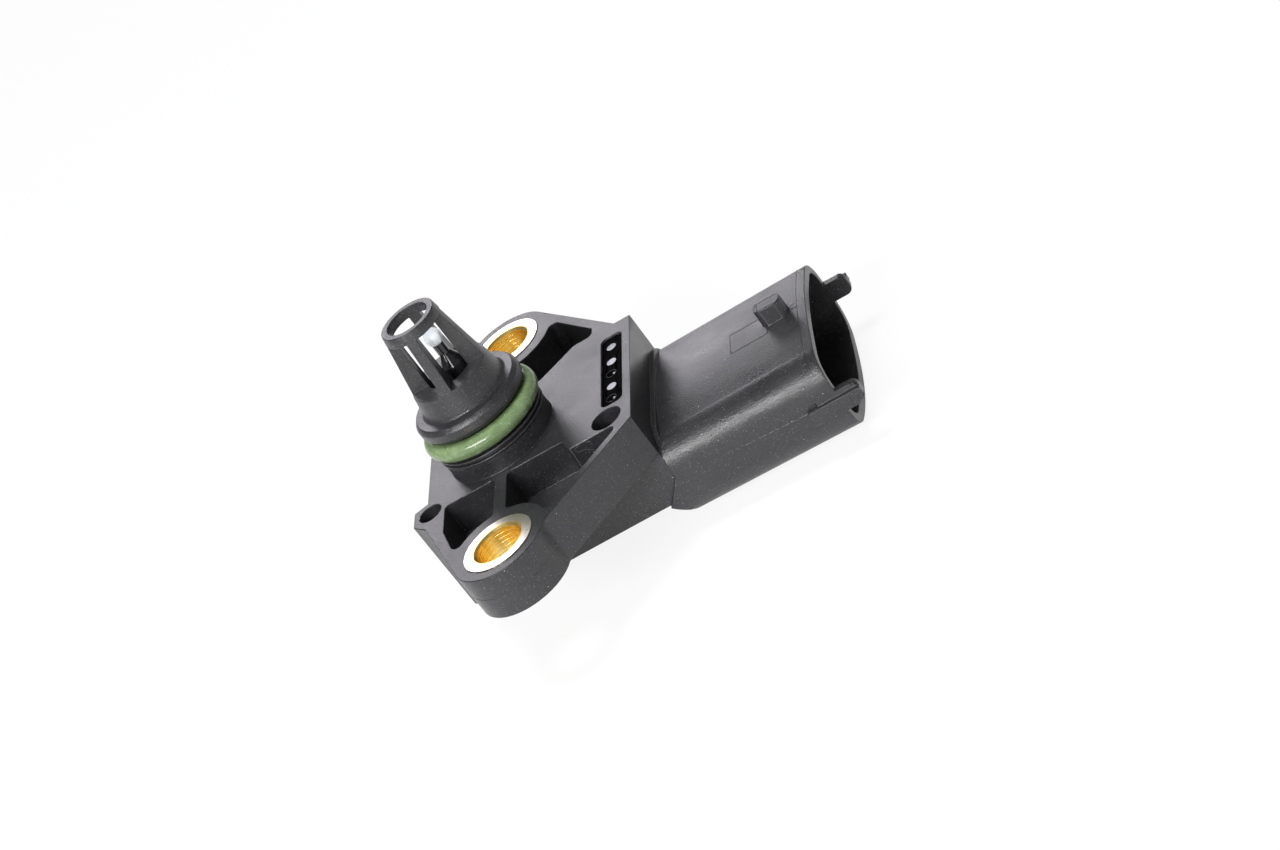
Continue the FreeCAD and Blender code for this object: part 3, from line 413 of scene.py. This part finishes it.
def growNode(tree, kind, settings, sockets):
    # one geometry node; a socket takes a value or another node's output
    made = tree.nodes.new(kind)
    for key, value in settings.items():
        setattr(made, key, value)
    for key, value in sockets.items():
        if isinstance(value, bpy.types.NodeSocket):
            tree.links.new(value, made.inputs[key])
        else:
            made.inputs[key].default_value = value
    return made


def growTree(name, inputs):
    tree = bpy.data.node_groups.new(name, "GeometryNodeTree")
    tree.interface.new_socket("Geometry", in_out="INPUT", socket_type="NodeSocketGeometry")
    for label, kind in inputs.items():
        tree.interface.new_socket(label, in_out="INPUT", socket_type=kind)
    tree.interface.new_socket("Geometry", in_out="OUTPUT", socket_type="NodeSocketGeometry")
    return tree, tree.nodes.new("NodeGroupInput").outputs


def closeTree(tree, shape, finish):
    whole = growNode(tree, "GeometryNodeRealizeInstances", {}, {0: shape})
    painted = growNode(tree, "GeometryNodeSetMaterial", {}, {"Geometry": whole.outputs[0], "Material": finish})
    tree.links.new(painted.outputs[0], tree.nodes.new("NodeGroupOutput").inputs[0])
    return tree


sides = {"section": 8, "ring": 64, "disc": 48}


def roundSection(tree, path, radius, caps):
    # a thin round section along a path
    section = growNode(tree, "GeometryNodeCurvePrimitiveCircle", {}, {
        "Resolution": sides["section"], "Radius": radius})
    line = growNode(tree, "GeometryNodeCurveToMesh", {}, {
        "Curve": path, "Profile Curve": section.outputs[0], "Fill Caps": caps})
    return line.outputs[0]


def flashTree():
    # a flash line: the path is dropped onto the moulding and given a round section
    tree, given = growTree("flashLine", {
        "Moulding": "NodeSocketObject", "Towards": "NodeSocketVector", "Reach": "NodeSocketFloat",
        "Spacing": "NodeSocketFloat", "Half width": "NodeSocketFloat", "Finish": "NodeSocketMaterial"})
    moulding = growNode(tree, "GeometryNodeObjectInfo", {}, {"Object": given["Moulding"]})
    path = growNode(tree, "GeometryNodeResampleCurve", {"mode": "LENGTH"}, {
        "Curve": given["Geometry"], "Length": given["Spacing"]})
    hit = growNode(tree, "GeometryNodeRaycast", {}, {
        "Target Geometry": moulding.outputs["Geometry"], "Ray Direction": given["Towards"],
        "Ray Length": given["Reach"]})
    laid = growNode(tree, "GeometryNodeSetPosition", {}, {
        "Geometry": path.outputs[0], "Position": hit.outputs["Hit Position"]})
    line = roundSection(tree, laid.outputs[0], given["Half width"], True)
    return closeTree(tree, line, given["Finish"])


def ringShape(tree, given):
    path = growNode(tree, "GeometryNodeCurvePrimitiveCircle", {}, {
        "Resolution": sides["ring"], "Radius": given["Radius"]})
    return roundSection(tree, path.outputs[0], given["Section"], False)


def discShape(tree, given):
    disc = growNode(tree, "GeometryNodeMeshCylinder", {}, {
        "Vertices": sides["disc"], "Radius": given["Radius"], "Depth": given["Section"]})
    return disc.outputs[0]


def rowTree(name, shape):
    # a row of one shape, each a step from the last
    tree, given = growTree(name, {
        "Count": "NodeSocketInt", "Start": "NodeSocketVector", "Step": "NodeSocketVector",
        "Radius": "NodeSocketFloat", "Section": "NodeSocketFloat", "Finish": "NodeSocketMaterial"})
    row = growNode(tree, "GeometryNodeMeshLine", {}, {
        "Count": given["Count"], "Start Location": given["Start"], "Offset": given["Step"]})
    placed = growNode(tree, "GeometryNodeInstanceOnPoints", {}, {
        "Points": row.outputs[0], "Instance": shape(tree, given)})
    return closeTree(tree, placed.outputs[0], given["Finish"])


def growPiece(name, carrier, tree, values):
    # runs the tree on the carrier and keeps the result as a plain mesh
    collection.objects.link(carrier)
    grow = carrier.modifiers.new("grow", "NODES")
    grow.node_group = tree
    for socket in tree.interface.items_tree:
        if socket.in_out == "INPUT" and socket.name in values:
            grow[socket.identifier] = values[socket.name]
    ready = carrier.evaluated_get(bpy.context.evaluated_depsgraph_get())
    piece = bpy.data.objects.new(name, bpy.data.meshes.new_from_object(ready))
    carrier.modifiers.remove(grow)
    bpy.data.objects.remove(carrier)
    piece.data.name = name
    collection.objects.link(piece)
    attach(piece, "root")


def drawnPath(name, runs, closed):
    curve = bpy.data.curves.new(name + "Path", "CURVE")
    curve.dimensions = "3D"
    for points in runs:
        spline = curve.splines.new("POLY")
        spline.points.add(len(points) - 1)
        for place, point in enumerate(points):
            spline.points[place].co = [value * mm for value in point] + [1]
        spline.use_cyclic_u = closed
    return bpy.data.objects.new(name + "Path", curve)


def brokenLine(start, end, marks):
    # the runs of a line that comes and goes, each from one share of its length to another
    first, last = Vector(start), Vector(end)
    return [[first.lerp(last, share) for share in mark] for mark in marks]


# Each run starts outside the housing and is dropped onto it in the direction of "towards".
down, inward = (0, 0, -1), (0, 1, 0)
flashSteps = {"reach": 60, "spacing": 0.3}
sideMarks = [(0.0, 0.07), (0.11, 0.15), (0.22, 0.34), (0.37, 0.44), (0.50, 0.53), (0.58, 0.70), (0.74, 0.80),
             (0.86, 1.0)]
flashLines = {
    "insertMark": {
        "runs": [[(31.7, -0.9, 0), (31.7, 3.7, 0), (37.2, 3.7, 0), (37.2, -0.9, 0)]],
        "closed": True, "towards": down, "halfWidth": 0.045, "finish": housingPlasticAndShade},
    "rimMark": {
        "runs": [[(41.7, -11.5, 0), (41.7, 13.5, 0)]],
        "closed": False, "towards": down, "halfWidth": 0.04, "finish": housingPlasticAndShade},
    "sideFlash": {
        "runs": brokenLine((29.6, -16, -11.05), (38.5, -16, -11.36), sideMarks),
        "closed": False, "towards": inward, "halfWidth": 0.03, "finish": plain["wornPlasticAndHighlight"]},
    "tabMark": {
        "runs": [[(44.24, -16, -11.35), (45.18, -16, -11.35), (45.18, -16, -12.5), (44.24, -16, -12.5)]],
        "closed": True, "towards": inward, "halfWidth": 0.04, "finish": housingPlasticAndShade},
    "pegMark": {
        "runs": [[(37.1, 0.85, 0), (40.0, 0.85, 0), (40.35, 1.35, 0), (40.35, 2.25, 0), (40.0, 2.75, 0),
                  (37.1, 2.75, 0), (36.85, 2.25, 0), (36.85, 1.35, 0)]],
        "closed": True, "towards": down, "halfWidth": 0.035, "finish": housingPlasticAndShade},
    # painted highlight: a pale bead along the recess's upper edge stands for the edge's bright highlight
    "recessEdge": {
        "runs": [[(10.2, -11.33, 1), (15.6, -11.33, 1)]],
        "closed": False, "towards": down, "halfWidth": 0.05, "finish": plain["wornPlasticAndHighlight"]},
    "lint": {
        "runs": [[(11.84, -11.5, -0.19), (11.01, -11.5, -0.36), (11.02, -11.5, -0.8), (11.22, -11.5, -1.07),
                  (11.58, -11.5, -1.08), (12.02, -11.5, -1.11), (12.59, -11.5, -1.48), (13.01, -11.5, -1.76)],
                 [(12.72, -11.5, -0.33), (13.23, -11.5, -0.4), (13.22, -11.5, -1.1)]],
        "closed": False, "towards": inward, "halfWidth": 0.025, "finish": plain["wornPlasticAndHighlight"]},
    "earFlash": {
        "runs": [[(-7, -40, -3.3), (5.5, -40, -3.3)]],
        "closed": False, "towards": inward, "halfWidth": 0.03, "finish": housingPlasticAndShade},
    "scratch": {
        "runs": [[(22.05, -16, -14.15), (22.2, -16, -14.45), (22.5, -16, -14.6), (23.1, -16, -14.55)]],
        "closed": False, "towards": inward, "halfWidth": 0.025, "finish": plain["wornPlasticAndHighlight"]},
}
flash = flashTree()
for name, choice in flashLines.items():
    growPiece(name, drawnPath(name, choice["runs"], choice["closed"]), flash, {
        "Moulding": mouldings["housing"], "Towards": choice["towards"], "Reach": flashSteps["reach"] * mm,
        "Spacing": flashSteps["spacing"] * mm, "Half width": choice["halfWidth"] * mm,
        "Finish": choice["finish"]})
print("flash lines laid:", len(flashLines))

trees = {"ring": rowTree("ringRow", ringShape), "disc": rowTree("discRow", discShape)}
toolMarks = {"tree": "ring", "count": 9, "step": (0, 0, -0.6), "radius": 3.25, "section": 0.03, "finish": brass,
             "slot": "bush_brass"}
spotRow = {"count": 2, "step": (0, -6.06, 0)}
spotFace = {"tree": "disc", "radius": 0.70, "section": 0.26, "finish": plain["matteTinAndGlint"],
            "slot": "tinned_bronze"}
smallRows = {
    "upperToolMarks": {**toolMarks, "start": (0, brassLook["centre"], -0.75)},
    "lowerToolMarks": {**toolMarks, "start": (0, -brassLook["centre"], -0.75)},
    "firstSpotFace": {**spotRow, **spotFace, "count": 1, "start": (16.4, 9.17, -0.78)},
    "spotFaces": {**spotRow, **spotFace, "start": (16.4, 5.43, -0.78)},
    "blindRims": {**spotRow, "tree": "ring", "start": (16.4, 2.40, -0.6), "radius": 0.74, "section": 0.035,
                  "finish": coverPlastic, "slot": "housing_plastic"},
    # painted glints: small matte grey rings on the far walls of the two blind holes stand for the glints seen
    # in them
    "spotGlints": {**spotRow, "tree": "ring", "start": (16.6, 2.95, -1.0), "radius": 0.13, "section": 0.06,
                   "finish": plain["matteTinAndGlint"], "slot": "tinned_bronze"},
}
for name, choice in smallRows.items():
    carrier = bpy.data.objects.new(name + "Seed", bpy.data.meshes.new(name + "Seed"))
    growPiece(name, carrier, trees[choice["tree"]], {
        "Count": choice["count"], "Start": [value * mm for value in choice["start"]],
        "Step": [value * mm for value in choice["step"]], "Radius": choice["radius"] * mm,
        "Section": choice["section"] * mm, "Finish": choice["finish"]})
print("small rows placed:", len(smallRows))

# metres, degrees, and the lens and sensor in millimetres
stage = {
    "floorLevel": -0.0194, "floorHalf": 3.0, "floorColour": (0.86, 0.86, 0.87, 1),
    "floorPale": (0.9, 0.9, 0.9, 1), "floorCloud": 0.004, "glow": 0.88, "mirroredGlow": 0.5, "world": 0.22,
    "lens": 100.59306, "sensor": 36.0, "nearest": 0.01, "place": (0.14461331, -0.39044540, 0.19761152),
    "turn": (57.805696, 32.937281, -0.670605),
}


def floorFinish():
    # pale floor that keeps the shadow and shows near white to the camera
    surface = Surface("paleFloor")
    base = surface.blend(surface.noise(stage["floorCloud"]), stage["floorColour"], stage["floorPale"])
    diffuse = surface.node("ShaderNodeBsdfDiffuse", {}, {"Color": base})
    glow = surface.node("ShaderNodeEmission", {}, {"Color": (1, 1, 1, 1), "Strength": 1.0})
    seen = surface.node("ShaderNodeLightPath", {}, {}, "Is Camera Ray")
    mirrored = surface.node("ShaderNodeLightPath", {}, {}, "Is Glossy Ray")
    share = surface.larger(seen * stage["glow"], mirrored * stage["mirroredGlow"])
    surface.end(surface.node("ShaderNodeMixShader", {}, {0: share, 1: diffuse, 2: glow}))
    return surface.material


floorMesh = bpy.data.meshes.new("floor")
half, level = stage["floorHalf"], stage["floorLevel"]
corners = [(-half, -half, level), (half, -half, level), (half, half, level), (-half, half, level)]
floorMesh.from_pydata(corners, [], [(0, 1, 2, 3)])
floorMesh.materials.append(floorFinish())
floor = bpy.data.objects.new("floor", floorMesh)
collection.objects.link(floor)

world = bpy.data.worlds.new("studio")
scene.world = world
world.use_nodes = True
background = world.node_tree.nodes["Background"].inputs
background["Color"].default_value = (1, 1, 1, 1)
background["Strength"].default_value = stage["world"]

# metres and watts
softboxes = {
    "backPanel": {"towards": (-0.30, 0.85, 0.31), "reach": 0.8, "size": (0.30, 0.28), "power": 1.22,
                  "colour": (0.97, 0.94, 1.0), "mirrored": True},
    "frontPanel": {"towards": (-0.30, -0.83, 0.54), "reach": 0.75, "size": (0.45, 0.12), "power": 5.9,
                   "colour": (1.0, 1.0, 1.0), "mirrored": True},
    "lowPanel": {"towards": (-0.25, -0.95, -0.02), "reach": 1.1, "size": (1.1, 0.5), "power": 2.95,
                 "colour": (1.0, 1.0, 1.0), "mirrored": True},
    "topPanel": {"towards": (0.05, -0.08, 1.0), "reach": 0.5, "size": (0.18, 0.18), "power": 2.0,
                 "colour": (0.97, 0.99, 1.0), "mirrored": False},
}


def addSoftbox(name, choice):
    lamp = bpy.data.lights.new(name, "AREA")
    lamp.shape = "RECTANGLE"
    lamp.size, lamp.size_y = choice["size"]
    lamp.energy = choice["power"]
    lamp.color = choice["colour"]
    panel = bpy.data.objects.new(name, lamp)
    aim = Vector(choice["towards"]).normalized()
    panel.location = aim * choice["reach"]
    panel.rotation_euler = aim.to_track_quat("Z", "Y").to_euler()
    panel.visible_glossy = choice["mirrored"]
    collection.objects.link(panel)


for name, choice in softboxes.items():
    addSoftbox(name, choice)

lens = bpy.data.cameras.new("camera")
lens.lens = stage["lens"]
lens.sensor_fit = "HORIZONTAL"
lens.sensor_width = stage["sensor"]
lens.clip_start = stage["nearest"]
camera = bpy.data.objects.new("camera", lens)
camera.location = stage["place"]
camera.rotation_euler = Euler([math.radians(angle) for angle in stage["turn"]], "XYZ")
collection.objects.link(camera)
scene.camera = camera
print("stage, lamps and camera set")
